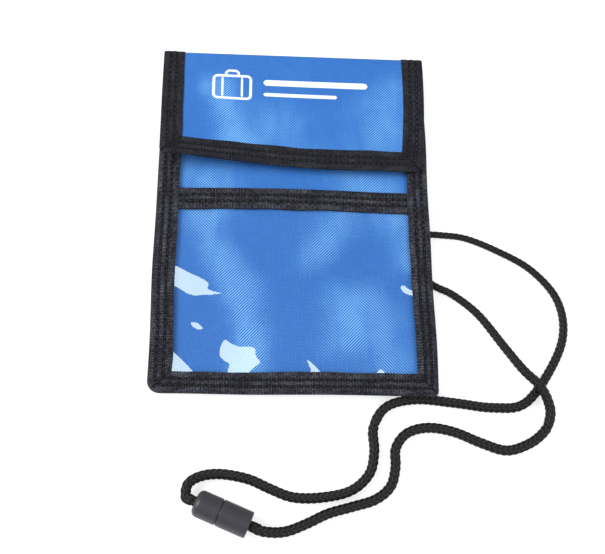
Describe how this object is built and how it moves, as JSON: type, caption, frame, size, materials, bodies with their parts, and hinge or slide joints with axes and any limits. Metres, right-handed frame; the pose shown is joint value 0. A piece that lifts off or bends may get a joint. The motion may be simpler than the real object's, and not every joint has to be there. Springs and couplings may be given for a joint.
{
  "type": "neck pouch wallet",
  "caption": "Flat cloth neck pouch with a hook-and-loop flap, a clear window pocket, bound edges and a cord loop that closes with a breakaway barrel connector.",
  "frame": {"origin": "middle of the pouch, on the flat of the back panel", "axes": "+X across the pouch to the side the cord leaves by, +Y towards the flap's fold, +Z out of the front"},
  "size_m": [0.2014, 0.2416, 0.0152],
  "materials": {
    "back_panel": "plain-coloured twill weave",
    "front_panel": "plain-coloured twill weave",
    "pocket_hem": "ribbed tape",
    "window_sheet": "clear, glossy, slightly rippled",
    "window_tape": "ribbed tape",
    "body_binding": "ribbed tape",
    "loop_patch": "fuzzy loop pile",
    "body_thread_outer": "sewing thread",
    "body_thread_inner": "sewing thread",
    "window_thread_upper": "sewing thread",
    "window_thread_lower": "sewing thread",
    "cord_end_left": "round braided cord",
    "cord_end_right": "round braided cord",
    "bartack_left": "dense zigzag stitching",
    "bartack_right": "dense zigzag stitching",
    "flap_fold": "plain-coloured twill weave",
    "flap_panel": "plain-coloured twill weave",
    "flap_binding": "ribbed tape",
    "hook_patch": "stiff hook pile",
    "flap_thread_outer": "sewing thread",
    "flap_thread_inner": "sewing thread",
    "cord_upper_left": "round braided cord",
    "cord_upper_right": "round braided cord",
    "cord_lower_left": "round braided cord",
    "cord_lower_right": "round braided cord",
    "socket_bead": "melted cord end",
    "cord_plug_end": "round braided cord",
    "plug_bead": "melted cord end",
    "plug_shell": "moulded, satin",
    "socket_shell": "moulded, satin"
  },
  "bodies": {
    "pouch": {"back_panel": "back_panel", "front_panel": "front_panel", "pocket_hem": "pocket_hem", "window_sheet": "window_sheet", "window_tape": "window_tape", "body_binding": "body_binding", "loop_patch": "loop_patch", "body_thread_outer": "body_thread_outer", "body_thread_inner": "body_thread_inner", "window_thread_upper": "window_thread_upper", "window_thread_lower": "window_thread_lower", "cord_end_left": "cord_end_left", "cord_end_right": "cord_end_right", "bartack_left": "bartack_left", "bartack_right": "bartack_right", "flap_fold": "flap_fold"},
    "flap": {"flap_panel": "flap_panel", "flap_binding": "flap_binding", "hook_patch": "hook_patch", "flap_thread_outer": "flap_thread_outer", "flap_thread_inner": "flap_thread_inner"},
    "lanyard_upper": {"cord_upper_left": "cord_upper_left", "cord_upper_right": "cord_upper_right"},
    "lanyard_lower": {"cord_lower_left": "cord_lower_left", "cord_lower_right": "cord_lower_right", "socket_bead": "socket_bead"},
    "plug_cord": {"cord_plug_end": "cord_plug_end", "plug_bead": "plug_bead"},
    "plug": {"plug_shell": "plug_shell"},
    "socket": {"socket_shell": "socket_shell"}
  },
  "joints": [
    {"name": "flap_hinge", "type": "hinge", "parent": "pouch", "child": "flap", "pos_m": [0, 0.08531, 0.00391], "axis": [-1, 0, 0], "range_deg": [0, 180], "deforming": ["flap_fold"]},
    {"name": "lanyard_swing", "type": "hinge", "parent": "pouch", "child": "lanyard_upper", "pos_m": [0, 0.08, -0.0038], "axis": [1, 0, 0], "range_deg": [0, 180]},
    {"name": "lanyard_fold", "type": "hinge", "parent": "lanyard_upper", "child": "lanyard_lower", "pos_m": [0.078, -0.101, -0.00305], "axis": [1, 0, 0], "range_deg": [-90, 90]},
    {"name": "breakaway_release", "type": "slide", "parent": "lanyard_lower", "child": "plug_cord", "axis": [-0.9219, 0.3875, 0], "range_m": [0, 0.016]},
    {"name": "plug_swivel", "type": "hinge", "parent": "plug_cord", "child": "plug", "pos_m": [-0.0431, -0.1372, 0.0005], "axis": [0.9219, -0.3875, 0], "continuous": true},
    {"name": "socket_swivel", "type": "hinge", "parent": "lanyard_lower", "child": "socket", "pos_m": [-0.0431, -0.1372, 0.0005], "axis": [0.9219, -0.3875, 0], "continuous": true}
  ]
}
